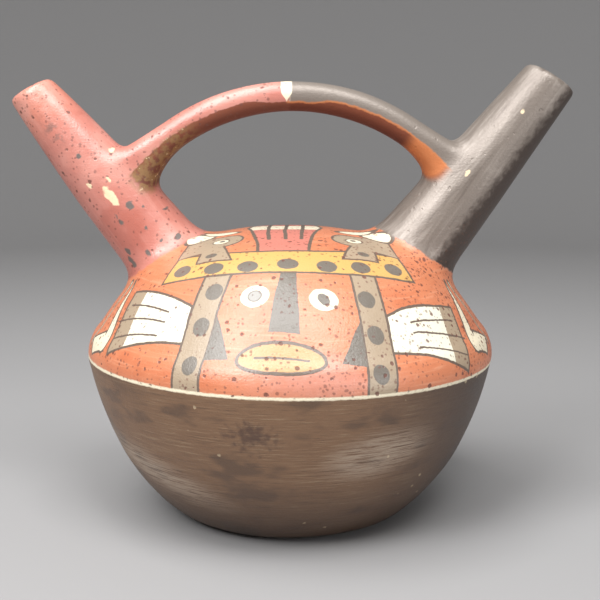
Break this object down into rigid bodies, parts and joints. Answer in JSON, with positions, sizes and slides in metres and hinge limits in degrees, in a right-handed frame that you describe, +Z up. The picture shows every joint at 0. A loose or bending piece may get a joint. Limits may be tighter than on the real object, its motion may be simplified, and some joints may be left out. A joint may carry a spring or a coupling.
{
  "type": "double spout and bridge bottle",
  "caption": "Hollow fired-clay bottle: a round bowl under a painted dome, slanting pouring spouts and an arched bridge between them to carry it by.",
  "frame": {"origin": "centre of the flat base, on the surface that the bottle stands on", "axes": "+Z up; +X from the red spout towards the black spout, along the bridge; the painted front faces -Y"},
  "size_m": [0.2054, 0.1514, 0.1659],
  "materials": {
    "fired_clay": "fired clay with burnished orange, rose-red, cream, yellow, grey and brown-black slips"
  },
  "bodies": {
    "root": {"vessel": "fired_clay"}
  },
  "joints": []
}
